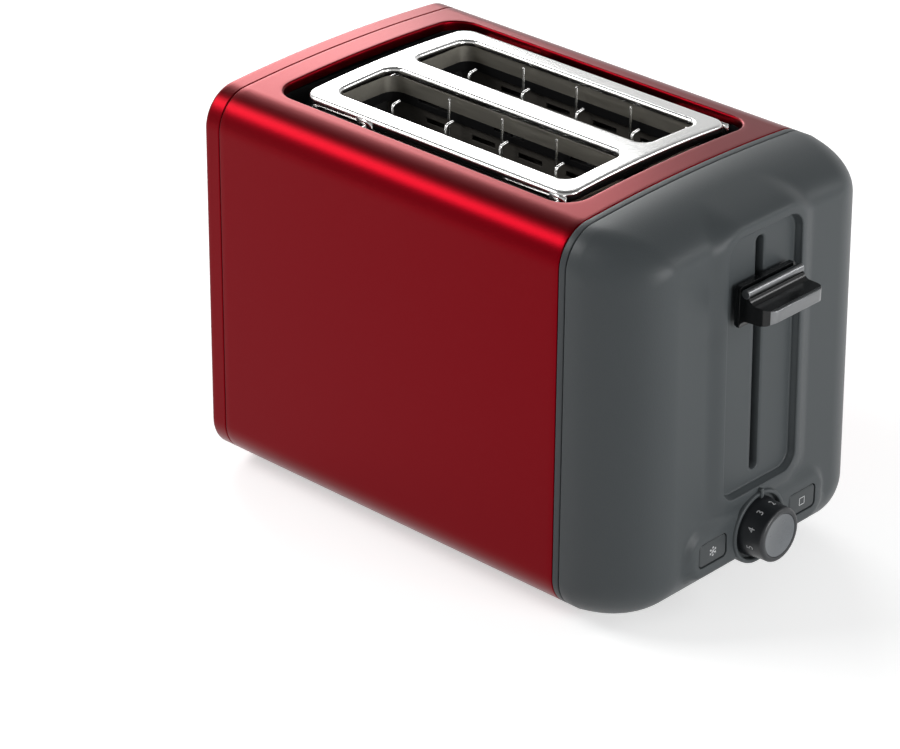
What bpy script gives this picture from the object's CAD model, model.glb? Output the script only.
import math

import bmesh
import bpy
import numpy as np
from mathutils import Matrix, Vector


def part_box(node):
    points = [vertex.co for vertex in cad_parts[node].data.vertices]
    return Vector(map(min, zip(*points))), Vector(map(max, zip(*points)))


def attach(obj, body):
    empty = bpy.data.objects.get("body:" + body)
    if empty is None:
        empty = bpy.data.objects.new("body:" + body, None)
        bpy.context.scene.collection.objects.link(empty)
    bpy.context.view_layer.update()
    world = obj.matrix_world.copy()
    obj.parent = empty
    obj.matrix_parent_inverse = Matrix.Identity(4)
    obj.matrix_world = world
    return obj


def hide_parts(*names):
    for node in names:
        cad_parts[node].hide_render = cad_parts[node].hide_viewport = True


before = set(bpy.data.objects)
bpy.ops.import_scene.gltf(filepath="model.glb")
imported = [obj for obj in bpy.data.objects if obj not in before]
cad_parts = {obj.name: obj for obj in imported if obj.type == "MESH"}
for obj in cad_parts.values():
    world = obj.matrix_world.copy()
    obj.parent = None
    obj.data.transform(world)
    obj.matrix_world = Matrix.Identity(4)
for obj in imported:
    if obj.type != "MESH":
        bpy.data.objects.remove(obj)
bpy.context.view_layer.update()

# ---------------------------------------------------------------------------
# Camera, floor and light
# A long lens looks down on the lever end's near corner. The floor and the
# world are white to the camera and to reflections; the lamps are soft panels.
# ---------------------------------------------------------------------------
scene = bpy.context.scene
scene.view_settings.view_transform = "Standard"

CAMERA_AT = (1.0032, -1.1376, 0.8496)
yaw, pitch, roll = (math.radians(a) for a in (46.989, 27.404, 0.398))
forward = Vector((-math.cos(pitch) * math.cos(yaw), math.cos(pitch) * math.sin(yaw), -math.sin(pitch)))
level = Vector((math.sin(yaw), math.cos(yaw), 0))
upward = level.cross(forward)
right = math.cos(roll) * level + math.sin(roll) * upward
above = math.cos(roll) * upward - math.sin(roll) * level
lens = bpy.data.cameras.new("camera")
lens.lens = 151.17
lens.sensor_width = 36
lens.clip_start, lens.clip_end = 0.05, 60
camera = bpy.data.objects.new("camera", lens)
aim = Matrix((right, above, -forward)).transposed().to_4x4()
camera.matrix_world = Matrix.Translation(CAMERA_AT) @ aim
scene.collection.objects.link(camera)
scene.camera = camera


def new_material(name):
    """A blank node material, with its tree's nodes and links."""
    m = bpy.data.materials.new(name)
    m.use_nodes = True
    m.node_tree.nodes.clear()
    return m, m.node_tree.nodes, m.node_tree.links


def seen_directly(nodes, links):
    """1 for rays from the camera, from mirrors and through glass, 0 for the rest."""
    path = nodes.new("ShaderNodeLightPath")
    top = nodes.new("ShaderNodeMath")
    top.operation = "MAXIMUM"
    links.new(path.outputs["Is Camera Ray"], top.inputs[0])
    links.new(path.outputs["Is Glossy Ray"], top.inputs[1])
    both = nodes.new("ShaderNodeMath")
    both.operation = "MAXIMUM"
    links.new(top.outputs[0], both.inputs[0])
    links.new(path.outputs["Is Transmission Ray"], both.inputs[1])
    return both.outputs[0]


# The room gives a faint even light. The camera and mirrors see a sky that is white at the horizon
# and fades upwards.
ROOM_LIGHT = 0.2
SKY_LOW, SKY_HIGH, SKY_FROM, SKY_TO = 1.0, 0.1, 0.05, 0.9
world = bpy.data.worlds.new("studio")
scene.world = world
world.use_nodes = True
wn, wl = world.node_tree.nodes, world.node_tree.links
wn.clear()
room, sky = wn.new("ShaderNodeBackground"), wn.new("ShaderNodeBackground")
room.inputs["Color"].default_value = (1, 1, 1, 1)
room.inputs["Strength"].default_value = ROOM_LIGHT
sky.inputs["Color"].default_value = (1, 1, 1, 1)
look, split = wn.new("ShaderNodeTexCoord"), wn.new("ShaderNodeSeparateXYZ")
fade = wn.new("ShaderNodeMapRange")
wl.new(look.outputs["Generated"], split.inputs[0])
wl.new(split.outputs["Z"], fade.inputs["Value"])
fade.inputs["From Min"].default_value, fade.inputs["From Max"].default_value = SKY_FROM, SKY_TO
fade.inputs["To Min"].default_value, fade.inputs["To Max"].default_value = SKY_LOW, SKY_HIGH
wl.new(fade.outputs["Result"], sky.inputs["Strength"])
choice, world_out = wn.new("ShaderNodeMixShader"), wn.new("ShaderNodeOutputWorld")
wl.new(seen_directly(wn, wl), choice.inputs["Fac"])
wl.new(room.outputs[0], choice.inputs[1])
wl.new(sky.outputs[0], choice.inputs[2])
wl.new(choice.outputs[0], world_out.inputs["Surface"])

# The floor is matt paper that glows a little for the camera and in mirrors, so that it looks white.
FLOOR_LIFT, FLOOR_REACH = 0.55, 12
paper, pn, pl = new_material("paper_floor")
matt, glow = pn.new("ShaderNodeBsdfDiffuse"), pn.new("ShaderNodeEmission")
matt.inputs["Color"].default_value = (0.8, 0.8, 0.8, 1)
glow.inputs["Color"].default_value = (1, 1, 1, 1)
lift = pn.new("ShaderNodeMath")
lift.operation = "MULTIPLY"
lift.inputs[1].default_value = FLOOR_LIFT
pl.new(seen_directly(pn, pl), lift.inputs[0])
pl.new(lift.outputs[0], glow.inputs["Strength"])
added, paper_out = pn.new("ShaderNodeAddShader"), pn.new("ShaderNodeOutputMaterial")
pl.new(matt.outputs[0], added.inputs[0])
pl.new(glow.outputs[0], added.inputs[1])
pl.new(added.outputs[0], paper_out.inputs["Surface"])
floor_mesh = bpy.data.meshes.new("floor")
floor_corners = [(x * FLOOR_REACH, y * FLOOR_REACH, 0) for x, y in ((-1, -1), (1, -1), (1, 1), (-1, 1))]
floor_mesh.from_pydata(floor_corners, [], [(0, 1, 2, 3)])
floor_mesh.materials.append(paper)
floor = bpy.data.objects.new("floor", floor_mesh)
scene.collection.objects.link(floor)

LAMP_AIM = Vector((0, 0, 0.12))


def panel(name, way, distance, size, glow):
    """A soft lamp in a direction from the object, turned to face it; glow is how bright it looks."""
    lamp = bpy.data.lights.new(name, "AREA")
    lamp.shape = "RECTANGLE"
    lamp.size, lamp.size_y = size
    lamp.energy = glow * math.pi * size[0] * size[1]
    o = bpy.data.objects.new(name, lamp)
    o.location = Vector(way).normalized() * distance + LAMP_AIM
    o.rotation_euler = Vector(way).to_track_quat("Z", "Y").to_euler()
    scene.collection.objects.link(o)


panel("top_panel", (-0.84, 0.54, 0.46), 2.4, (1.2, 0.8), 7.0)
panel("edge_panel", (-0.64, -0.50, 0.62), 2.2, (1.3, 0.6), 10.0)
panel("shoulder_panel", (0.62, 0.62, 0.44), 2.2, (0.6, 0.4), 8.0)
panel("front_panel", (0.96, 0.02, 0.20), 2.4, (1.0, 1.0), 10.0)

# ---------------------------------------------------------------------------
# Steel sleeve
# One sheet of steel wrapped over the top and curled under the base, lacquered
# a metallic red. Its edge is turned down round the pocket in the top.
# ---------------------------------------------------------------------------
MM = 0.001
EDGE_R, CROWN_R = 18.0, 909.0
sleeve_lo, sleeve_hi = (np.array(c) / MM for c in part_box("sleeve"))
HALF_W, TOP_Z, HEM_Z = sleeve_hi[1], sleeve_hi[2], sleeve_lo[2]
CORNER_N, CROWN_N, FLANK_N, UNDER_N = 18, 48, 56, 40


def arc(cy, cz, r, a0, a1, n):
    """n points on a circle's arc from angle a0 up to, but not including, a1, in degrees."""
    a = np.radians(np.linspace(a0, a1, n, endpoint=False))
    return np.stack([cy + r * np.cos(a), cz + r * np.sin(a)], 1)


def line(p, q, n):
    """n points from p up to, but not including, q."""
    t = np.linspace(0, 1, n, endpoint=False)[:, None]
    return np.array(p) * (1 - t) + np.array(q) * t


def section(side, over, under, r_top, r_low):
    """Outline of the body in Y and Z, moved in by a side, a top and a bottom distance.
    The top is an arc of the crown's radius; round corners are tangent to it and to the sides."""
    hw, z0, cr = HALF_W - side, HEM_Z + under, CROWN_R - over
    yt, zc = hw - r_top, TOP_Z - over - cr
    zt = zc + math.sqrt((cr - r_top) ** 2 - yt * yt)
    a = math.degrees(math.atan2(zt - zc, yt))
    return np.concatenate([
        arc(hw - r_low, z0 + r_low, r_low, -90, 0, CORNER_N),
        line((hw, z0 + r_low), (hw, zt), FLANK_N),
        arc(yt, zt, r_top, 0, a, CORNER_N),
        arc(0, zc, cr, a, 180 - a, CROWN_N),
        arc(-yt, zt, r_top, 180 - a, 180, CORNER_N),
        line((-hw, zt), (-hw, z0 + r_low), FLANK_N),
        arc(r_low - hw, z0 + r_low, r_low, 180, 270, CORNER_N),
        line((r_low - hw, z0), (hw - r_low, z0), UNDER_N)])


def inset_section(d):
    """The body's outline with every side moved in by d."""
    return section(d, d, d, EDGE_R - d, EDGE_R - d)


def at_x(outline, x):
    """A Y and Z outline set at a station, or at one station per point, along X."""
    return np.column_stack([np.broadcast_to(x, len(outline)), outline])


def rounded(l, w, r, nx, ny, nc=10):
    """Closed plan outline of a rectangle about the origin. r gives the corners' radii in turn from
    +X +Y round through -X +Y, or one for all; nx, ny and nc are the points on a side along X, on one
    along Y and on a corner."""
    r = np.broadcast_to(r, 4)
    a, b = l / 2, w / 2
    return np.concatenate([
        arc(a - r[0], b - r[0], r[0], 0, 90, nc), line((a - r[0], b), (r[1] - a, b), nx),
        arc(r[1] - a, b - r[1], r[1], 90, 180, nc), line((-a, b - r[1]), (-a, r[2] - b), ny),
        arc(r[2] - a, r[2] - b, r[2], 180, 270, nc), line((r[2] - a, -b), (a - r[3], -b), nx),
        arc(a - r[3], r[3] - b, r[3], 270, 360, nc), line((a, r[3] - b), (a, b - r[0]), ny)])


def between(a, b, n):
    """n rings from a to b, both included, in even steps."""
    t = np.linspace(0, 1, n)[:, None, None]
    return a[None] * (1 - t) + b[None] * t


def skin(grid, closed=True, flip=False):
    """Points and quads of a grid of rings; closed joins each ring's last point to its first."""
    m, n = grid.shape[:2]
    k = np.arange(m * n).reshape(m, n)
    a, b = (k, np.roll(k, -1, 1)) if closed else (k[:, :-1], k[:, 1:])
    q = np.stack([a[:-1], b[:-1], b[1:], a[1:]], -1).reshape(-1, 4)
    return grid.reshape(-1, 3), q[:, ::-1] if flip else q


def piece(name, skins, material, body, replaces=(), sharp=35.0, recalc=False, merge=1e-6, wall=0.0):
    """One object from several skins in millimetres, merged where they meet, with smooth shading
    up to the sharp angle, riding a body and standing for CAD nodes. wall thickens it inwards."""
    starts = np.cumsum([0] + [len(p) for p, q in skins])
    points = np.concatenate([p for p, q in skins]) * MM
    faces = np.concatenate([q + s for (p, q), s in zip(skins, starts)])
    mesh = bpy.data.meshes.new(name)
    mesh.from_pydata(points.tolist(), [], faces.tolist())
    bm = bmesh.new()
    bm.from_mesh(mesh)
    bmesh.ops.remove_doubles(bm, verts=bm.verts, dist=merge)
    bmesh.ops.dissolve_degenerate(bm, edges=bm.edges, dist=1e-7)
    if recalc:
        bmesh.ops.recalc_face_normals(bm, faces=bm.faces)
    bm.to_mesh(mesh)
    bm.free()
    mesh.shade_smooth()
    mesh.set_sharp_from_angle(angle=math.radians(sharp))
    mesh.materials.append(material)
    o = bpy.data.objects.new(name, mesh)
    scene.collection.objects.link(o)
    if wall:
        sheet = o.modifiers.new("wall", "SOLIDIFY")
        sheet.thickness, sheet.offset, sheet.use_even_offset = wall * MM, -1, True
    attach(o, body)
    if replaces:
        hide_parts(*replaces)
    return o


def finish_of(name, colour, rough, metallic=0.0, coat=0.0, grain=300, depth=0.02, spread=0.08, tint=0.06,
              specular=0.5):
    """A surface whose colour, roughness and height vary with noise on Object coordinates. grain is the
    noise's frequency per metre, or its three along X, Y and Z; spread, tint and depth are how
    strongly it acts on the roughness, the colour and the height."""
    m, n, l = new_material(name)
    place, scale, noise = n.new("ShaderNodeTexCoord"), n.new("ShaderNodeMapping"), n.new("ShaderNodeTexNoise")
    scale.inputs["Scale"].default_value = [float(g) for g in np.broadcast_to(grain, 3)]
    noise.inputs["Scale"].default_value = 1.0
    noise.inputs["Detail"].default_value = 4.0
    l.new(place.outputs["Object"], scale.inputs["Vector"])
    l.new(scale.outputs["Vector"], noise.inputs["Vector"])
    shade = n.new("ShaderNodeMix")
    shade.data_type = "RGBA"
    shade.inputs["A"].default_value = (*[c * (1 - tint) for c in colour], 1)
    shade.inputs["B"].default_value = (*[min(1, c * (1 + tint)) for c in colour], 1)
    l.new(noise.outputs["Fac"], shade.inputs["Factor"])
    span = n.new("ShaderNodeMapRange")
    span.inputs["To Min"].default_value = max(0.02, rough - spread)
    span.inputs["To Max"].default_value = min(1, rough + spread)
    l.new(noise.outputs["Fac"], span.inputs["Value"])
    bump = n.new("ShaderNodeBump")
    bump.inputs["Strength"].default_value = depth
    bump.inputs["Distance"].default_value = 0.0005
    l.new(noise.outputs["Fac"], bump.inputs["Height"])
    bsdf, out = n.new("ShaderNodeBsdfPrincipled"), n.new("ShaderNodeOutputMaterial")
    bsdf.inputs["Metallic"].default_value = metallic
    bsdf.inputs["Coat Weight"].default_value = coat
    bsdf.inputs["Coat Roughness"].default_value = 0.05
    bsdf.inputs["Specular IOR Level"].default_value = specular
    l.new(shade.outputs["Result"], bsdf.inputs["Base Color"])
    l.new(span.outputs["Result"], bsdf.inputs["Roughness"])
    l.new(bump.outputs["Normal"], bsdf.inputs["Normal"])
    l.new(bsdf.outputs["BSDF"], out.inputs["Surface"])
    return m


red = finish_of("red_lacquer", (0.155, 0.001, 0.0045), 0.33, metallic=1.0, grain=2600, spread=0.04, tint=0.1)


def crown(y, top=TOP_Z, radius=CROWN_R):
    """Height of a crowned surface over a distance from the middle."""
    return top - radius + np.sqrt(radius ** 2 - y ** 2)


def plan(outline, x, z):
    """A plan outline about a station, at a height or at one height per point."""
    return np.column_stack([outline[:, 0] + x, outline[:, 1], np.broadcast_to(z, len(outline))])


def quarter(r, n=7):
    """A quarter round of radius r as n pairs: how far out it still is, falling from r to 0, and how
    deep it has gone, growing from 0 to r."""
    return [(r * (1 - math.sin(a)), r * (1 - math.cos(a))) for a in np.radians(np.linspace(0, 90, n))]


def inward(hoop, d):
    """An open Y and Z outline moved in by d, along its own normals."""
    t = np.gradient(hoop, axis=0)
    n = np.column_stack([-t[:, 1], t[:, 0]])
    return hoop + d * n / np.linalg.norm(n, axis=1)[:, None]


liner_lo, liner_hi = (np.array(c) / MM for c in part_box("pocket_liner"))
LINER_PAST = 2.2  # how far the liner reaches past the pocket on each side
POCKET_X = (liner_lo[0] + liner_hi[0]) / 2
POCKET_L = liner_hi[0] - liner_lo[0] - 2 * LINER_PAST
POCKET_W = liner_hi[1] - liner_lo[1] - 2 * LINER_PAST
POCKET_R, FOLD_R, FLANGE = 12.0, 1.1, 4.6
EDGE_ROLL, EDGE_TURN, ALONG_N = 0.45, 1.6, 64
SHEET_X0, SHEET_X1 = sleeve_lo[0] + EDGE_ROLL, sleeve_hi[0] - EDGE_ROLL

# The top sheet spans from the sides to the pocket, where its edge folds down. Both sides run from
# the crown to the hem, and the whole hoop is rolled in at its two ends.
outline = inset_section(0)
crown_at = CORNER_N + FLANK_N + CORNER_N
far_side, near_side = outline[:crown_at + 1], outline[crown_at + CROWN_N:2 * crown_at + CROWN_N + 1]
flat = outline[crown_at, 0]
pocket = rounded(POCKET_L + 2 * FOLD_R, POCKET_W + 2 * FOLD_R, POCKET_R + FOLD_R, nx=ALONG_N, ny=CROWN_N)
rim = rounded(SHEET_X1 - SHEET_X0, 2 * flat, 0, nx=ALONG_N, ny=CROWN_N)
rim[:, 0] += (SHEET_X0 + SHEET_X1) / 2 - POCKET_X
top_rings = [plan(r, POCKET_X, crown(r[:, 1])) for r in between(rim, pocket, 9)]
down = []
for o, d in quarter(FOLD_R) + [(0, FLANGE / 2), (0, FLANGE)]:
    r = rounded(POCKET_L + 2 * o, POCKET_W + 2 * o, POCKET_R + o, nx=ALONG_N, ny=CROWN_N)
    down.append(plan(r, POCKET_X, crown(r[:, 1]) - d))
skins = [skin(np.stack(top_rings)), skin(np.stack(down))]
stations = np.append(np.linspace(SHEET_X0, SHEET_X1, ALONG_N, endpoint=False), SHEET_X1)
for side in (far_side, near_side):
    skins.append(skin(np.stack([at_x(side, x) for x in stations]), closed=False))
across = np.linspace(flat, -flat, CROWN_N, endpoint=False)
hoop = np.concatenate([far_side[:-1], np.column_stack([across, crown(across)]), near_side])
for end, way in ((SHEET_X0, -1), (SHEET_X1, 1)):
    rolled = [at_x(inward(hoop, d), end + way * (EDGE_ROLL - o)) for o, d in quarter(EDGE_ROLL)]
    rolled.append(at_x(inward(hoop, EDGE_TURN), end + way * EDGE_ROLL))
    skins.append(skin(np.stack(rolled), closed=False, flip=way < 0))
piece("sleeve_skin", skins, red, "shell", ["sleeve"], merge=2e-6)

# ---------------------------------------------------------------------------
# Rear band and rear cover
# A lacquered band closes the sleeve behind. A dark moulded cover sits inside
# it, with a bulge over the wiring, cooling slots, the inlet and the tray's mouth.
# ---------------------------------------------------------------------------
band_lo, band_hi = (np.array(c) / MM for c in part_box("rear_band"))
BAND_R, BAND_WALL, BAND_LIP, BAND_DEEP = 1.6, 2.6, 0.4, 5.0
rings = [at_x(inset_section(o), band_hi[0] - d) for o, d in quarter(EDGE_ROLL)]
rings += [at_x(inset_section(0), x) for x in np.linspace(band_hi[0] - 2 * EDGE_ROLL, band_lo[0] + BAND_R, 5)]
rings += [at_x(inset_section(d), band_lo[0] + o) for o, d in quarter(BAND_R, 9)]
rings += [at_x(inset_section(d), band_lo[0] + x)
          for d, x in ((BAND_WALL - BAND_LIP, 0), (BAND_WALL, BAND_LIP), (BAND_WALL, BAND_DEEP))]
piece("rear_band_skin", [skin(np.stack(rings), flip=True)], red, "shell", ["rear_band"])

cover_grey = finish_of("cover_plastic", (0.05, 0.055, 0.058), 0.5, grain=1800, depth=0.12, spread=0.06)
cover_lo, cover_hi = (np.array(c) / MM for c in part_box("rear_cover"))
COVER_X, COVER_IN, COVER_WALL = band_lo[0] + 1.0, 2.9, 2.6
COVER_CHAMFER, COVER_RIM = 0.3, 0.7
BULGE_IN, BULGE_DROP, BULGE_R, BULGE_FOOT = 15.5, 4.0, 5.0, 1.5
BULGE_DEEP, BULGE_DEEP_IN = 6.0, 3.2
BULGE_MID = np.array([[0.0, 98.0]])


def bulge(d):
    """The bulge's outline, moved in by d."""
    e = BULGE_IN + d
    return section(e, e, e - BULGE_DROP, EDGE_R, EDGE_R)


def closing(outline, shares):
    """Copies of an outline shrunk towards the bulge's middle."""
    return [BULGE_MID + (outline - BULGE_MID) * k for k in shares]


# Round the rim, over the bulge to its middle, and back along the inside.
inner_edge = at_x(inset_section(COVER_IN), COVER_X + COVER_WALL)
rings = [inner_edge, at_x(inset_section(COVER_IN), COVER_X + COVER_CHAMFER)]
rings.append(at_x(inset_section(COVER_IN + COVER_CHAMFER), COVER_X))
rings += [at_x(r, COVER_X) for r in between(inset_section(COVER_IN + COVER_RIM), bulge(-BULGE_FOOT), 6)]
rings += [at_x(bulge(-o), COVER_X - d) for o, d in quarter(BULGE_FOOT)[1:]]
rings += [at_x(bulge(d), cover_lo[0] + o) for o, d in quarter(BULGE_R, 13)]
rings += [at_x(r, cover_lo[0]) for r in closing(bulge(BULGE_R), (0.97, 0.9, 0.75, 0.55, 0.35, 0.15, 0.0))]
rings += [at_x(r, cover_lo[0] + COVER_WALL) for r in closing(bulge(BULGE_R), (0.3, 0.7, 0.95))]
rings += [at_x(bulge(BULGE_DEEP_IN), cover_lo[0] + BULGE_DEEP), at_x(bulge(COVER_IN), COVER_X + COVER_WALL)]
rings.append(inner_edge)


CLEAR = 2.0  # how far a cutting shape stands out of what it cuts


def prism(points, x0, x1):
    """A closed prism along X on a Y and Z outline given anticlockwise from +X."""
    middle = points.mean(0, keepdims=True) + 0 * points
    return skin(np.stack([at_x(middle, x0), at_x(points, x0), at_x(points, x1), at_x(middle, x1)]))


def carved(name, skins, cutters, material, body, replaces, sharp=35.0):
    """A closed piece with other closed shapes taken out of it."""
    o = piece(name, skins, material, body, replaces, sharp, recalc=True)
    tool = piece(name + "_tool", cutters, material, body, recalc=True)
    cut = o.modifiers.new("cut", "BOOLEAN")
    cut.object, cut.solver = tool, "EXACT"
    cut.use_self = True
    done = bpy.data.meshes.new_from_object(o.evaluated_get(bpy.context.evaluated_depsgraph_get()))
    done.shade_smooth()
    done.set_sharp_from_angle(angle=math.radians(sharp))
    o.modifiers.clear()
    o.data = done
    bpy.data.objects.remove(tool)


VENT_W, VENT_H, VENT_R, VENT_PITCH, VENT_Z, VENT_DEEP = 3.0, 26.0, 1.4, 9.0, 113.0, 5.0
INLET_R, INLET_Z, INLET_DEEP = 7.1, 50.0, 8.0
MOUTH_W, MOUTH_H, MOUTH_R, MOUTH_Z = 99.0, 40.0, 1.0, -2.1
outside = cover_lo[0] - CLEAR
vent = rounded(VENT_W, VENT_H, VENT_R, 3, 6, 5)
mouth = rounded(MOUTH_W, MOUTH_H, MOUTH_R, 4, 4, 4) + [0, MOUTH_Z]
cuts = [prism(vent + [VENT_PITCH * i, VENT_Z], outside, cover_lo[0] + VENT_DEEP) for i in range(-4, 5)]
cuts.append(prism(arc(0, INLET_Z, INLET_R, 0, 360, 40), outside, cover_lo[0] + INLET_DEEP))
cuts.append(prism(mouth, outside, cover_hi[0] + CLEAR))
carved("rear_cover_skin", [skin(np.stack(rings))], cuts, cover_grey, "shell", ["rear_cover"])

# ---------------------------------------------------------------------------
# End ring
# A plain grey moulded hoop between the sleeve and the end cap. Its edges are
# slightly rounded, so a hairline shows at both sides.
# ---------------------------------------------------------------------------
ring_grey = finish_of("ring_plastic", (0.05, 0.056, 0.06), 0.42, grain=1800, depth=0.1, spread=0.05,
                      specular=0.25)
CAP_X0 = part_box("end_cap")[0][0] / MM
JOINT, RING_R, RING_WALL = 0.3, 0.5, 2.4
RING_X0, RING_X1 = sleeve_hi[0] + JOINT, CAP_X0 - JOINT
inner_edge = at_x(inset_section(RING_WALL), RING_X0)
rings = [inner_edge] + [at_x(inset_section(o), RING_X0 + d) for o, d in quarter(RING_R)]
rings += [at_x(inset_section(o), RING_X1 - d) for o, d in quarter(RING_R)[::-1]]
rings += [at_x(inset_section(RING_WALL), RING_X1), inner_edge]
piece("end_ring_skin", [skin(np.stack(rings))], ring_grey, "shell", ["end_ring"])

# ---------------------------------------------------------------------------
# End cap
# One big grey moulding. Its section shrinks along a quarter ellipse to a face
# that leans back a little. A soft raised pad frames the lever recess and the
# control bar; recess, button wells and the knob's groove are cut into it.
# ---------------------------------------------------------------------------
cap_grey = finish_of("cap_plastic", (0.058, 0.066, 0.07), 0.42, grain=1700, depth=0.12, spread=0.05,
                     specular=0.25)
CAP_X, CAP_ROUND, CAP_WALL, CAP_MID_Z = 122.2, 34.0, 2.6, 100.0
SIDE_IN, OVER_IN, UNDER_IN, PLUMP, FACE_R = 28.5, 16.0, 25.0, 9.5, 4.0
LEAN, LEAN_Z = math.tan(math.radians(1.15)), 100.5
RECESS_W, RECESS_Z0, RECESS_Z1, RECESS_R = 48.6, 54.8, 177.6, 8.0
RECESS_H, RECESS_Z = RECESS_Z1 - RECESS_Z0, (RECESS_Z0 + RECESS_Z1) / 2
RECESS_D, DRAFT, LIP, TOE, RECESS_STEPS = 3.85, 1.8, 0.8, 0.9, (24, 60, 14)
KNOB_Z, KNOB_WELL = 35.0, 16.2
BUTTON_Z, BUTTON_Y, BUTTON_W, BUTTON_H, BUTTON_R = 35.0, 30.6, 18.0, 11.0, 2.3
PAD, UPRIGHT_R, UPRIGHT_FLANK, BAR_R, BAR_FLANK = 2.4, 9.5, 9.0, 7.0, 5.0
UPRIGHT_W, UPRIGHT_H = RECESS_W + 3, RECESS_H + 6
BAR_W, BAR_H = 2 * BUTTON_Y + BUTTON_W + 8, BUTTON_H + 8


def cap_ring(a, d=0.0):
    """The cap's outline at an angle of its quarter ellipse, moved in by d. The corners first grow
    plumper, then smaller with the face."""
    k, s = 1 - math.cos(a), math.sin(a)
    r = EDGE_R - d + PLUMP * s ** 0.8
    o = section(d + SIDE_IN * k, d + OVER_IN * k, d + UNDER_IN * k,
                max(r - SIDE_IN * k, FACE_R), max(r - UNDER_IN * k, FACE_R))
    return at_x(o, CAP_X - d - CAP_ROUND + CAP_ROUND * s + LEAN * (LEAN_Z - o[:, 1]) * s)


def box_distance(y, z, cy, cz, w, h, r):
    """Signed distance in the YZ plane to a rectangle with round corners."""
    qy, qz = abs(y - cy) - w / 2 + r, abs(z - cz) - h / 2 + r
    return np.hypot(np.maximum(qy, 0), np.maximum(qz, 0)) + np.minimum(np.maximum(qy, qz), 0) - r


def pad_plane(z):
    """X of the raised pad's face at a height."""
    return CAP_X + PAD + LEAN * (LEAN_Z - z)


def pad_share(y, z):
    """1 on the pad, falling to 0 over its soft flanks: an upright round the recess, joined to a low bar."""
    upright = box_distance(y, z, 0, RECESS_Z, UPRIGHT_W, UPRIGHT_H, UPRIGHT_R)
    bar = box_distance(y, z, 0, BUTTON_Z, BAR_W, BAR_H, BAR_R)
    a, b = (np.clip(1 - d / flank, 0, 1) for d, flank in ((upright, UPRIGHT_FLANK), (bar, BAR_FLANK)))
    return 1 - (1 - a * a * (3 - 2 * a)) * (1 - b * b * (3 - 2 * b))


def padded_face(ring):
    """Moves a ring's points towards the pad's plane by their share."""
    y, z = ring[:, 1], ring[:, 2]
    out = ring.copy()
    out[:, 0] += np.maximum(pad_plane(z) - ring[:, 0], 0) * pad_share(y, z)
    return out


# The outside runs from the joint to the middle of the face, and the inside runs back.
front = [cap_ring(a) for a in np.radians(np.linspace(0, 90, 56))]
face, middle = front[-1], np.array([[CAP_X, 0.0, CAP_MID_Z]])
for k in np.linspace(1, 0, 46)[1:]:
    r = middle + (face - middle) * k
    r[:, 0] = CAP_X + LEAN * (LEAN_Z - r[:, 2])
    front.append(r)
back = [cap_ring(a, CAP_WALL) for a in np.radians(np.linspace(90, 0, 12))]
inner_middle = middle - [[CAP_WALL, 0, 0]]
inner_edge = at_x(inset_section(CAP_WALL), CAP_X0)
rings = [inner_edge] + [at_x(inset_section(o), CAP_X0 + d) for o, d in quarter(RING_R)]
rings += [padded_face(r) for r in front]
rings += [inner_middle + (back[0] - inner_middle) * k for k in (0.0, 0.3, 0.6, 0.9)]
rings += back + [inner_edge]


def recess_outline(o):
    """The recess's outline in Y and Z, grown by o."""
    return rounded(RECESS_W + 2 * o, RECESS_H + 2 * o, RECESS_R + o, *RECESS_STEPS) + [0, RECESS_Z]


def button_outline(y, o):
    """A button's outline in Y and Z, grown by o."""
    return rounded(BUTTON_W + 2 * o, BUTTON_H + 2 * o, BUTTON_R + o, 12, 8, 8) + [y, BUTTON_Z]


WELL_GAP, WELL_ROUND, WELL_DEEP = 0.35, 0.3, 6.0
BASE_W, BASE_H, BASE_Z, BASE_R, BASE_X1 = 123.0, 30.0, -5.2, 1.0, 98.3
RECESS_CUT, WELL_CUT = 20.0, 12.0
cut_in, cut_out = CAP_X - WELL_CUT, CAP_X + WELL_CUT
cuts = [prism(recess_outline(LIP), CAP_X - RECESS_CUT, cut_out)]
cuts.append(prism(arc(0, KNOB_Z, KNOB_WELL, 0, 360, 72), cut_in, cut_out))
cuts += [prism(button_outline(s * BUTTON_Y, WELL_GAP + WELL_ROUND), cut_in, cut_out) for s in (-1, 1)]
cuts.append(prism(rounded(BASE_W, BASE_H, BASE_R, 4, 4, 4) + [0, BASE_Z], CAP_X0 - CLEAR, BASE_X1))
carved("end_cap_skin", [skin(np.stack(rings))], cuts, cap_grey, "shell", ["end_cap"], sharp=30)


def on_pad(outline, depth):
    """An outline laid at a depth under the pad's leaning plane."""
    return at_x(outline, pad_plane(outline[:, 1]) - depth)


SLIT_W, SLIT_H, SLIT_Z, SLIT_R, SLIT_EDGE, SLIT_DEEP = 5.1, 111.0, 117.1, 2.5, 0.3, 4.4
slit, slit_rim = (rounded(SLIT_W + 2 * o, SLIT_H + 2 * o, SLIT_R + o, *RECESS_STEPS) + [0, SLIT_Z]
                  for o in (0, SLIT_EDGE))
# A round lip, the drafted wall, a round toe, the floor, and the slit through it.
rings = [on_pad(recess_outline(o), d) for o, d in quarter(LIP)]
rings += [on_pad(recess_outline((TOE - DRAFT) * k), LIP * (1 - k) + (RECESS_D - TOE) * k)
          for k in np.linspace(0, 1, 7)[1:]]
rings += [on_pad(recess_outline(TOE - DRAFT - d), RECESS_D - o) for o, d in quarter(TOE)[1:]]
rings += [on_pad(r, RECESS_D) for r in between(recess_outline(-DRAFT), slit_rim, 12)[1:]]
rings += [on_pad(slit, RECESS_D + d) for d in (SLIT_EDGE, SLIT_DEEP)]
piece("lever_recess", [skin(np.stack(rings))], cap_grey, "shell", sharp=50)

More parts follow.
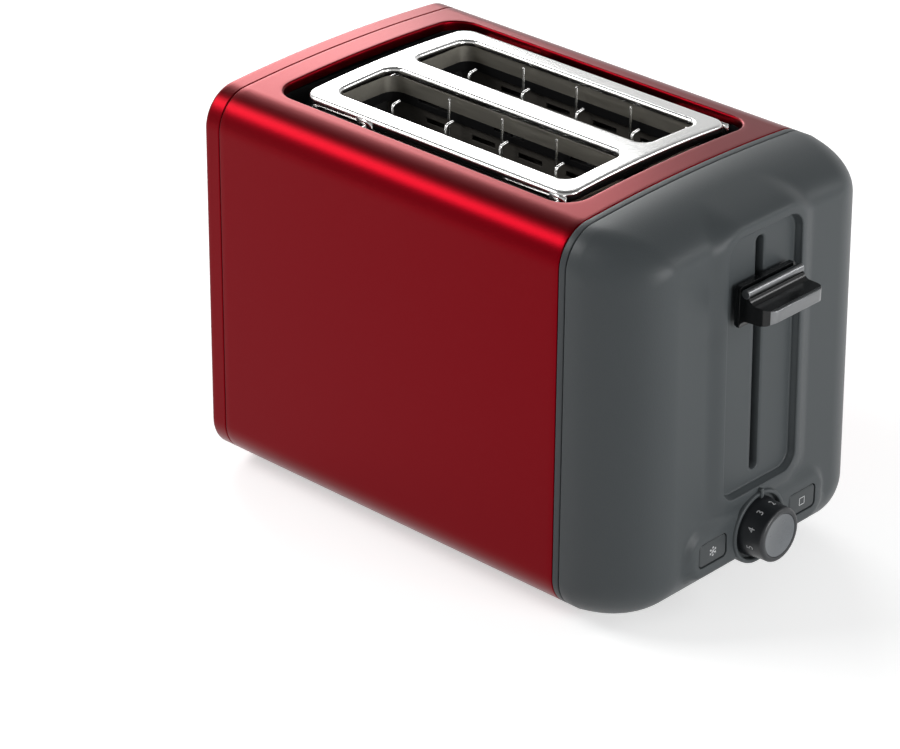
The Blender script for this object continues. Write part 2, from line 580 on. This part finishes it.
wells = []
for s in (-1, 1):
    rings = [on_pad(button_outline(s * BUTTON_Y, WELL_GAP + o), d) for o, d in quarter(WELL_ROUND)]
    rings.append(at_x(button_outline(s * BUTTON_Y, WELL_GAP), CAP_X - WELL_DEEP))
    wells.append(skin(np.stack(rings)))
piece("button_wells", wells, cap_grey, "shell", sharp=50)

bar_x, TURNED_N = pad_plane(KNOB_Z), 96


def turned(profile, x, z):
    """A body of revolution about an axis along X: a profile of radius and distance along it."""
    t = np.linspace(0, 2 * math.pi, TURNED_N, endpoint=False)
    r, d = np.array(profile, float).T
    ring = np.stack([np.zeros(TURNED_N), np.cos(t), np.sin(t)], 1)
    along = d[:, None, None] * np.array([1.0, 0, 0])
    return skin(ring[None] * r[:, None, None] + np.array([x, 0, z]) + along)


boss = [(17.4, -7.0), (17.4, -0.8), (17.3, 0.2), (17.1, 0.7), (16.8, 1.0), (16.4, 1.1), (15.9, 1.05),
        (15.5, 0.85), (15.3, 0.4), (15.25, -0.5), (15.25, -2.0), (14.0, -2.2), (2.0, -2.2)]
MARK_W, MARK_H, MARK_R, MARK_Z, MARK_SINK, MARK_OUT = 1.8, 4.6, 0.7, 51.7, 0.5, 1.5
mark = rounded(MARK_W, MARK_H, MARK_R, 4, 6, 5) + [0, MARK_Z]
mark_middle = mark.mean(0)
rings = [at_x(mark, bar_x - MARK_SINK), at_x(mark, bar_x + MARK_OUT)]
rings += [at_x(mark_middle + (mark - mark_middle) * k, bar_x + MARK_OUT + d)
          for k, d in ((0.92, 0.15), (0.8, 0.25), (0.0, 0.3))]
piece("knob_boss", [turned(boss, bar_x, KNOB_Z), skin(np.stack(rings))], cap_grey, "shell",
      sharp=40)

# ---------------------------------------------------------------------------
# Push buttons
# Two moulded keys with soft edges stand in wells in the control bar. Each has
# a small pale print: a snow crystal on the left, a plain square on the right.
# ---------------------------------------------------------------------------
key_grey = finish_of("key_plastic", (0.045, 0.051, 0.054), 0.4, grain=1700, depth=0.08, spread=0.05,
                     specular=0.3)
print_white = finish_of("pale_print", (0.62, 0.63, 0.64), 0.5, grain=900)
KEY_X, KEY_DEEP, KEY_R, KEY_CROWN = bar_x - 0.2, 9.0, 0.8, 0.12
for side_name, s in (("left", -1), ("right", 1)):
    rings = [at_x(button_outline(s * BUTTON_Y, 0), KEY_X - KEY_DEEP)]
    rings += [at_x(button_outline(s * BUTTON_Y, -o), KEY_X - d) for o, d in quarter(KEY_R)[::-1]]
    spot = np.array([[s * BUTTON_Y, BUTTON_Z]])
    face = button_outline(s * BUTTON_Y, -KEY_R)
    rings += [at_x(spot + (face - spot) * k, KEY_X + KEY_CROWN * (1 - k * k)) for k in (0.85, 0.6, 0.3, 0.0)]
    piece("key_" + side_name, [skin(np.stack(rings))], key_grey, "button_" + side_name,
          ["button_" + side_name], sharp=40)

PRINT_X, PRINT_T = KEY_X + 0.08, 0.06
CRYSTAL_R, TWIG_AT, TWIG_L, TWIG_TURN, CRYSTAL_W, TWIG_W = 2.4, 1.3, 0.9, 0.7, 0.32, 0.26
SQUARE_HALF, SQUARE_W = 1.7, 0.32


def stroke(p, q, w):
    """A flat bar from p to q in Y and Z, w wide, a hair above the keys' faces."""
    p, q = np.array(p, float), np.array(q, float)
    t = (q - p) / np.linalg.norm(q - p)
    n = np.array([-t[1], t[0]]) * w / 2
    base = np.array([p - n, q - n, q + n, p + n])
    front_x = PRINT_X + PRINT_T
    return skin(np.stack([at_x(base, PRINT_X), at_x(base, front_x), at_x(base * 0 + base.mean(0), front_x)]))


def ray(a):
    """The direction in Y and Z at an angle."""
    return np.array([math.cos(a), math.sin(a)])


here = np.array([-BUTTON_Y, BUTTON_Z])
crystal = []
for a in np.radians(np.arange(30, 390, 60)):
    crystal.append(stroke(here, here + CRYSTAL_R * ray(a), CRYSTAL_W))
    fork = here + TWIG_AT * ray(a)
    for b in (TWIG_TURN, -TWIG_TURN):
        crystal.append(stroke(fork, fork + TWIG_L * ray(a + b), TWIG_W))
piece("print_left", crystal, print_white, "button_left")
corners = np.array([BUTTON_Y, BUTTON_Z]) + SQUARE_HALF * np.array([[-1, -1], [1, -1], [1, 1], [-1, 1]])
square = []
for p, q in zip(corners, np.roll(corners, -1, 0)):
    square.append(stroke(p - SQUARE_W / 2 * np.sign(q - p), q, SQUARE_W))
piece("print_right", square, print_white, "button_right")

# ---------------------------------------------------------------------------
# Browning knob
# A satin black drum with a soft front rim round a dished metal disc. Pale
# figures from 1 to 6 are printed on the drum, read against the mark above.
# ---------------------------------------------------------------------------
knob_black = finish_of("knob_plastic", (0.016, 0.018, 0.021), 0.38, grain=1500, depth=0.05, spread=0.05)
dish_metal = finish_of("dish_metal", (0.16, 0.17, 0.18), 0.3, metallic=1.0, coat=0.2, grain=500)
KNOB_R, KNOB_SINK, KNOB_L, KNOB_BORE, DISH_R, DISH = 13.7, 1.4, 12.4, 2.0, 10.2, 1.1
RIM_R, WAIST, FOOT = 1.5, 1.0, 0.4
whole = KNOB_L + KNOB_SINK
drum_l = whole - RIM_R - 0.6
dish_curve = (DISH_R ** 2 + DISH ** 2) / (2 * DISH)
# The foot, the drum that narrows forwards, the round rim, and the seat of the disc.
profile = [(KNOB_BORE, 0.0), (KNOB_R - 0.8, 0.0), (KNOB_R - 0.4, 0.15)]
profile += [(KNOB_R - WAIST * math.sin(a), FOOT + drum_l * a / (math.pi / 2))
            for a in np.radians(np.linspace(0, 90, 14))]
profile += [(KNOB_R - WAIST - RIM_R * (1 - math.cos(a)), whole - RIM_R + RIM_R * math.sin(a))
            for a in np.radians(np.linspace(8, 90, 10))]
profile += [(DISH_R + 0.25, whole - 0.02), (DISH_R, whole - 0.12), (DISH_R - 0.1, whole - 0.5),
            (KNOB_BORE, whole - 2.5)]
piece("knob_drum", [turned(profile, bar_x - KNOB_SINK, KNOB_Z)], knob_black, "browning_knob",
      ["knob"])
disc = [(DISH_R - 0.3, whole - 1.5), (DISH_R - 0.12, whole - 0.6), (DISH_R - 0.12, whole - 0.3)]
disc += [(r, whole - DISH + dish_curve - math.sqrt(dish_curve ** 2 - r * r) - 0.1)
         for r in np.linspace(DISH_R - 0.25, 0, 14)]
piece("knob_dish", [turned(disc, bar_x - KNOB_SINK, KNOB_Z)], dish_metal, "browning_knob",
      ["knob_disc"])

FIGURE, FIGURE_X, PRINT_GAP = 4.6, bar_x + 5.8, 0.05
for figure, degrees in zip("123456", (44, 82, 119, 157, 195, 233)):
    curve = bpy.data.curves.new("figure", "FONT")
    curve.body, curve.size, curve.resolution_u = figure, FIGURE, 6
    curve.align_x, curve.align_y = "CENTER", "CENTER"
    holder = bpy.data.objects.new("figure", curve)
    scene.collection.objects.link(holder)
    mesh = bpy.data.meshes.new_from_object(holder.evaluated_get(bpy.context.evaluated_depsgraph_get()))
    bpy.data.objects.remove(holder)
    points = np.zeros(len(mesh.vertices) * 3)
    mesh.vertices.foreach_get("co", points)
    across, up = points.reshape(-1, 3)[:, 0], points.reshape(-1, 3)[:, 1]
    along = FIGURE_X - up
    depth = (along - bar_x + KNOB_SINK - FOOT) / drum_l * math.pi / 2
    radius = KNOB_R - WAIST * np.sin(np.clip(depth, 0, math.pi / 2)) + PRINT_GAP
    angle = math.radians(degrees) - across / radius
    bent = np.stack([along, radius * np.cos(angle), KNOB_Z + radius * np.sin(angle)], 1) * MM
    mesh.vertices.foreach_set("co", bent.ravel())
    mesh.materials.clear()
    mesh.materials.append(print_white)
    digit = bpy.data.objects.new("figure_" + figure, mesh)
    scene.collection.objects.link(digit)
    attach(digit, "browning_knob")

# ---------------------------------------------------------------------------
# Pieces carried over from the construction model
# Their shapes are right as they are: each gets its edges eased by a small
# bevel, smooth shading, and the finish of the real material.
# ---------------------------------------------------------------------------
EASE, HAND_EASE, SHARP = 0.15, 0.3, math.radians(32)


def dressed(node, material, body):
    """A merged copy of a CAD node with eased edges, more so where a hand holds it, standing for the node."""
    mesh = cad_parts[node].data.copy()
    bm = bmesh.new()
    bm.from_mesh(mesh)
    bmesh.ops.remove_doubles(bm, verts=bm.verts, dist=1e-6)
    bmesh.ops.dissolve_limit(bm, angle_limit=math.radians(0.4), verts=bm.verts, edges=bm.edges)
    bm.to_mesh(mesh)
    bm.free()
    mesh.materials.clear()
    mesh.materials.append(material)
    mesh.shade_smooth()
    mesh.set_sharp_from_angle(angle=SHARP)
    o = bpy.data.objects.new(node + "_dressed", mesh)
    scene.collection.objects.link(o)
    ease = HAND_EASE if node in ("lever_handle", "lever_trim", "tray_handle") else EASE
    edge = o.modifiers.new("ease", "BEVEL")
    edge.width, edge.segments, edge.limit_method = ease * MM, 2, "ANGLE"
    edge.angle_limit = SHARP
    edge.harden_normals = True
    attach(o, body)
    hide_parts(node)


black = finish_of("black_plastic", (0.006, 0.006, 0.0065), 0.5, grain=1500, depth=0.08, specular=0.2)
gloss = finish_of("gloss_black", (0.006, 0.0065, 0.007), 0.2, grain=200, depth=0.01, spread=0.03,
                  specular=0.35)
satin = finish_of("satin_silver", (0.2, 0.205, 0.21), 0.32, metallic=1.0, grain=(900, 60, 900), depth=0.03)
rubber = finish_of("foot_rubber", (0.02, 0.02, 0.02), 0.75, grain=1200, depth=0.2)
steel = finish_of("plain_steel", (0.5, 0.5, 0.51), 0.34, metallic=1.0, grain=(60, 1500, 1500), depth=0.04,
                  tint=0.1)
frame_steel = finish_of("frame_steel", (0.42, 0.4, 0.35), 0.5, metallic=1.0, grain=(60, 900, 900), depth=0.05,
                        tint=0.15)
mica = finish_of("mica_board", (0.06, 0.055, 0.048), 0.6, grain=(160, 160, 420), depth=0.2, tint=0.25,
                 specular=0.2)
alloy = finish_of("heating_alloy", (0.22, 0.2, 0.18), 0.5, metallic=1.0, depth=0.1, tint=0.2)
copper = finish_of("coil_copper", (0.55, 0.25, 0.12), 0.35, metallic=1.0, grain=(100, 100, 3000), depth=0.5)
green = finish_of("solder_resist", (0.02, 0.14, 0.06), 0.4, depth=0.1)
cream = finish_of("terminal_plastic", (0.55, 0.53, 0.45), 0.5, grain=400, depth=0.1)
iron = finish_of("latch_iron", (0.28, 0.28, 0.29), 0.45, metallic=1.0, depth=0.1)
for nodes, material, body, slot in (
        (("slot_frame_near", "slot_frame_far"), frame_steel, "shell", "chassis_steel"),
        (("pocket_liner", "base_pan", "cord_inlet"), black, "shell", "black_plastic"),
        (("feet",), rubber, "shell", "foot_rubber"),
        (("crumb_tray",), steel, "tray", "tray_steel"),
        (("tray_handle",), cover_grey, "tray", "cover_plastic"),
        (("bulkhead_rear", "bulkhead_front"), steel, "shell", "chassis_steel"),
        (("reflector_near", "reflector_far"), steel, "shell", "chassis_steel"),
        (("bread_rest_near", "bread_rest_far"), steel, "carriage", "rest_steel"),
        (("carriage_bracket", "lever_arm"), steel, "carriage", "carriage_steel"),
        (("guide_rods",), steel, "shell", "rod_steel"),
        (("lever_handle",), gloss, "carriage", "lever_black"),
        (("lever_trim",), satin, "carriage", "satin_silver"),
        (("magnet_yoke",), iron, "shell", "latch_iron"),
        (("magnet_coil",), copper, "shell", "coil_copper"),
        (("keeper",), iron, "carriage", "latch_iron"),
        (("control_board",), green, "shell", "board_green"),
        (("browning_pot",), black, "shell", "control_body"),
        (("pot_shaft",), steel, "browning_knob", "shaft_steel"),
        (("button_switches",), black, "shell", "control_body"),
        (("terminal_block",), cream, "shell", "terminal_plastic"),
        (("chassis_screws", "base_screws"), steel, "shell", "screw_steel"),
        (("card_near_outer", "card_near_inner", "card_far_inner", "card_far_outer"), mica, "shell", "mica")):
    for node in nodes:
        dressed(node, material, body)

# The wound ribbons and the return spring show their own meshes, in bare alloy.
ribbons = ("ribbon_near_outer", "ribbon_near_inner", "ribbon_far_inner", "ribbon_far_outer")
for node in (*ribbons, "return_spring"):
    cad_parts[node].data.materials.clear()
    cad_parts[node].data.materials.append(alloy)

# ---------------------------------------------------------------------------
# Roll rack
# A crowned plate of polished steel lies in the pocket, pressed so that its
# edge and the edges of both slots turn down. Four lugs at its sides carry
# the bails.
# ---------------------------------------------------------------------------
bright = finish_of("polished_steel", (0.78, 0.78, 0.77), 0.2, metallic=1.0, grain=(40, 1600, 1600),
                   spread=0.06, tint=0.04)
rack_lo, rack_hi = (np.array(c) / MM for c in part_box("warming_rack"))
RACK_L, RACK_W, RACK_X = rack_hi[0] - rack_lo[0], rack_hi[1] - rack_lo[1], (rack_lo[0] + rack_hi[0]) / 2
RACK_R, RACK_TOP, RACK_CROWN, RACK_WALL = 8.0, rack_hi[2], 709.0, 0.9
SLOT_L, SLOT_W, SLOT_R, SLOT_X, SLOT_Y = 137.7, 36.4, 6.0, -19.8, 24.6
TURN, SKIRT, SLOT_LIP = 1.5, 4.2, 2.8
LONG_N, SHORT_N, BEND_N = 60, 24, 12
PLAN_STEPS = (LONG_N, SHORT_N, BEND_N)


def on_rack(outline, d):
    """A plan outline laid a depth d under the crowned plate."""
    return plan(outline, SLOT_X, crown(outline[:, 1], RACK_TOP, RACK_CROWN) - d)


def slot_outline(s, o):
    """The plan outline of the slot on side s, grown by o."""
    return rounded(SLOT_L + 2 * o, SLOT_W + 2 * o, SLOT_R + o, *PLAN_STEPS) + [0, s * SLOT_Y]


def grown(outline, o):
    """The rack's plan outline moved out by o, along its own normals."""
    t = np.roll(outline, -1, 0) - np.roll(outline, 1, 0)
    n = np.column_stack([t[:, 1], -t[:, 0]])
    return outline + o * n / np.linalg.norm(n, axis=1)[:, None]


# Each half of the plate runs from the outer edge to its slot, whose edge turns down.
skins, halves = [], []
half_w, corner = (RACK_W - 2 * TURN) / 2, RACK_R - TURN
for s in (-1, 1):
    radii = (corner, corner, 0, 0) if s > 0 else (0, 0, corner, corner)
    half = rounded(RACK_L - 2 * TURN, half_w, radii, *PLAN_STEPS) + [RACK_X - SLOT_X, s * half_w / 2]
    skins.append(skin(np.stack([on_rack(r, 0) for r in between(half, slot_outline(s, TURN), 7)])))
    turned_in = quarter(TURN) + [(0, 1.8), (0, SLOT_LIP)]
    skins.append(skin(np.stack([on_rack(slot_outline(s, o), d) for o, d in turned_in])))
    halves.append(half)

# The skirt follows the outer edges of both halves: the far one round to the middle of the rear
# edge, the near one, and the rest of the far one.
near, far = halves
hem = np.concatenate([far[:2 * BEND_N + LONG_N + SHORT_N], near[2 * BEND_N + LONG_N:],
                      far[4 * BEND_N + 2 * LONG_N + SHORT_N:]])
hem = hem[np.linalg.norm(np.roll(hem, -1, 0) - hem, axis=1) > 1e-6]
folded = [(TURN - o, d) for o, d in quarter(TURN)] + [(TURN, 2.8), (TURN, SKIRT)]
skins.append(skin(np.stack([on_rack(grown(hem, o), d) for o, d in folded]), flip=True))

LUG_R, LUG_Z, LUG_TOP, LUG_MID, LUG_IN = 4.5, 183.5, 187.6, 186.0, 0.5
LUG_FRONT, LUG_REAR = rack_hi[0] - 5.6, rack_lo[0] + 38.94
for x in (LUG_FRONT, LUG_REAR):
    tab = np.concatenate([[[x - LUG_R, LUG_TOP]], arc(x, LUG_Z, LUG_R, 180, 360, 24),
                          [[x + LUG_R, LUG_Z], [x + LUG_R, LUG_TOP]]])
    middle = np.array([x, LUG_MID])
    for s in (-1, 1):
        rings = [np.insert(middle + (tab - middle) * k, 1, s * (RACK_W / 2 - LUG_IN), axis=1) for k in (1, 0)]
        skins.append(skin(np.stack(rings), flip=s < 0))
piece("rack_plate", skins, bright, "rack", ["warming_rack"], merge=3e-6, wall=RACK_WALL)

# ---------------------------------------------------------------------------
# Wire parts
# The rack's two bails and the bread guards are bent from bright round wire.
# Level wires are welded to the guards' uprights, flush with their backs.
# ---------------------------------------------------------------------------
wire = finish_of("bright_wire", (0.7, 0.7, 0.69), 0.22, metallic=1.0, grain=800, depth=0.03)
WIRE_N = 16


def bent_wire(path, r, normal, bend=0.0):
    """A round wire along a flat path with this normal. Each corner becomes a smooth curve that begins
    where an arc of the bend's radius would, circles are set square to the path, and both ends are
    closed by a low dome."""
    path = np.array(path, float)
    points = [path[:1]]
    for p, q, t in zip(path[:-2], path[1:-1], path[2:]):
        a, b = (p - q) / np.linalg.norm(p - q), (t - q) / np.linalg.norm(t - q)
        reach = bend / math.tan(math.acos(np.clip(a @ b, -1, 1)) / 2)
        k = np.linspace(0, 1, 9)[:, None]
        points.append((1 - k) ** 2 * (q + a * reach) + 2 * k * (1 - k) * q + k ** 2 * (q + b * reach))
    points.append(path[-1:])
    spine = np.concatenate(points)
    way = np.gradient(spine, axis=0)
    way /= np.linalg.norm(way, axis=1)[:, None]
    square_on = np.broadcast_to(np.array(normal, float), way.shape)
    across = np.cross(way, square_on)
    across /= np.linalg.norm(across, axis=1)[:, None]
    t = np.linspace(0, 2 * math.pi, WIRE_N, endpoint=False)[None, :, None]
    circle = across[:, None] * np.cos(t) + square_on[:, None] * np.sin(t)
    dome = np.array([0.0, 0.6, 0.9, 1.0])
    first = [spine[0] - way[0] * r * 0.5 * math.sqrt(1 - k * k) + circle[0] * r * k for k in dome]
    last = [spine[-1] + way[-1] * r * 0.5 * math.sqrt(1 - k * k) + circle[-1] * r * k for k in dome[::-1]]
    body = spine[:, None] + circle * r
    return skin(np.concatenate([np.stack(first), body, np.stack(last)]), flip=True)


LOW_Z, HIGH_Z, ARM_Y, PIN_OUT, PIN_IN, HANG_Y = 181.5, 183.5, 56.8, 62.2, 48.8, 50.9
REAR_LOW_X, REAR_HIGH_X, FRONT_LOW_X, FRONT_HIGH_X = -94.25, -60.309, 18.909, 52.85
BAIL_R, BAIL_BEND = 1.5, 2.4


def slanted(a, b):
    """The direction square to the plane that holds Y and the arm from a to b."""
    d = np.array([b[0] - a[0], 0, b[2] - a[2]])
    return np.cross(d / np.linalg.norm(d), [0, 1, 0])


y = np.array([0, 1.0, 0])
a, b = np.array([REAR_LOW_X, 0, LOW_Z]), np.array([REAR_HIGH_X, 0, HIGH_Z])
n = slanted(a, b)
loop = [b - y * HANG_Y, b - y * ARM_Y, a - y * ARM_Y, a + y * ARM_Y, b + y * ARM_Y, b + y * HANG_Y]
bail = [bent_wire(loop, BAIL_R, n, BAIL_BEND)]
bail += [bent_wire([a + s * y * PIN_IN, a + s * y * PIN_OUT], BAIL_R, n) for s in (-1, 1)]
piece("rear_bail_wire", bail, wire, "bail_rear", ["rack_bail_rear"], sharp=60)
a, b = np.array([FRONT_LOW_X, 0, LOW_Z]), np.array([FRONT_HIGH_X, 0, HIGH_Z])
n = slanted(a, b)
loop = [a - y * PIN_OUT, a - y * ARM_Y, b - y * ARM_Y, b + y * ARM_Y, a + y * ARM_Y, a + y * PIN_OUT]
bail = [bent_wire(loop, BAIL_R, n, BAIL_BEND)]
piece("front_bail_wire", bail, wire, "bail_front", ["rack_bail_front"], sharp=60)

GUARD_R, RAIL_R, GUARD_BEND, GUARD_PITCH = 0.65, 0.55, 1.4, 32.0
HOOKED_IN, HOOKED_TOP, PLAIN_IN, PLAIN_TOP = 8.65, 192.0, 4.65, 186.2
HOOK_L, HOOK_Z = 4.36, 192.6
RAIL_ZS, HOOK_RAIL_Z, HOOK_RAIL_PAST = (43.6, 160.1), 181.0, 1.5
for name, y0, s, hooked in (("near_outer", -40.6, 1, True), ("near_inner", -8.6, -1, False),
                            ("far_inner", 8.6, 1, True), ("far_outer", 40.6, -1, False)):
    lo, hi = (np.array(c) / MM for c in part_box("guard_" + name))
    first_in, top = (HOOKED_IN, HOOKED_TOP) if hooked else (PLAIN_IN, PLAIN_TOP)
    xs = SLOT_X + SLOT_L / 2 - first_in - GUARD_PITCH * np.arange(4)
    rail_y = y0 - s * (GUARD_R - RAIL_R)
    rails = [(lo[0], hi[0], z) for z in RAIL_ZS]
    if hooked:
        rails.append((xs[3] - HOOK_RAIL_PAST, xs[0] + HOOK_RAIL_PAST, HOOK_RAIL_Z))
    wires = []
    for x in xs:
        path = [(x, y0, lo[2]), (x, y0, top)]
        if hooked:
            path.append((x, y0 + s * HOOK_L, HOOK_Z))
        wires.append(bent_wire(path, GUARD_R, (1, 0, 0), GUARD_BEND))
    wires += [bent_wire([(u, rail_y, z), (v, rail_y, z)], RAIL_R, (0, 0, 1)) for u, v, z in rails]
    piece("guard_wires_" + name, wires, wire, "guard_" + name, ["guard_" + name], sharp=60)
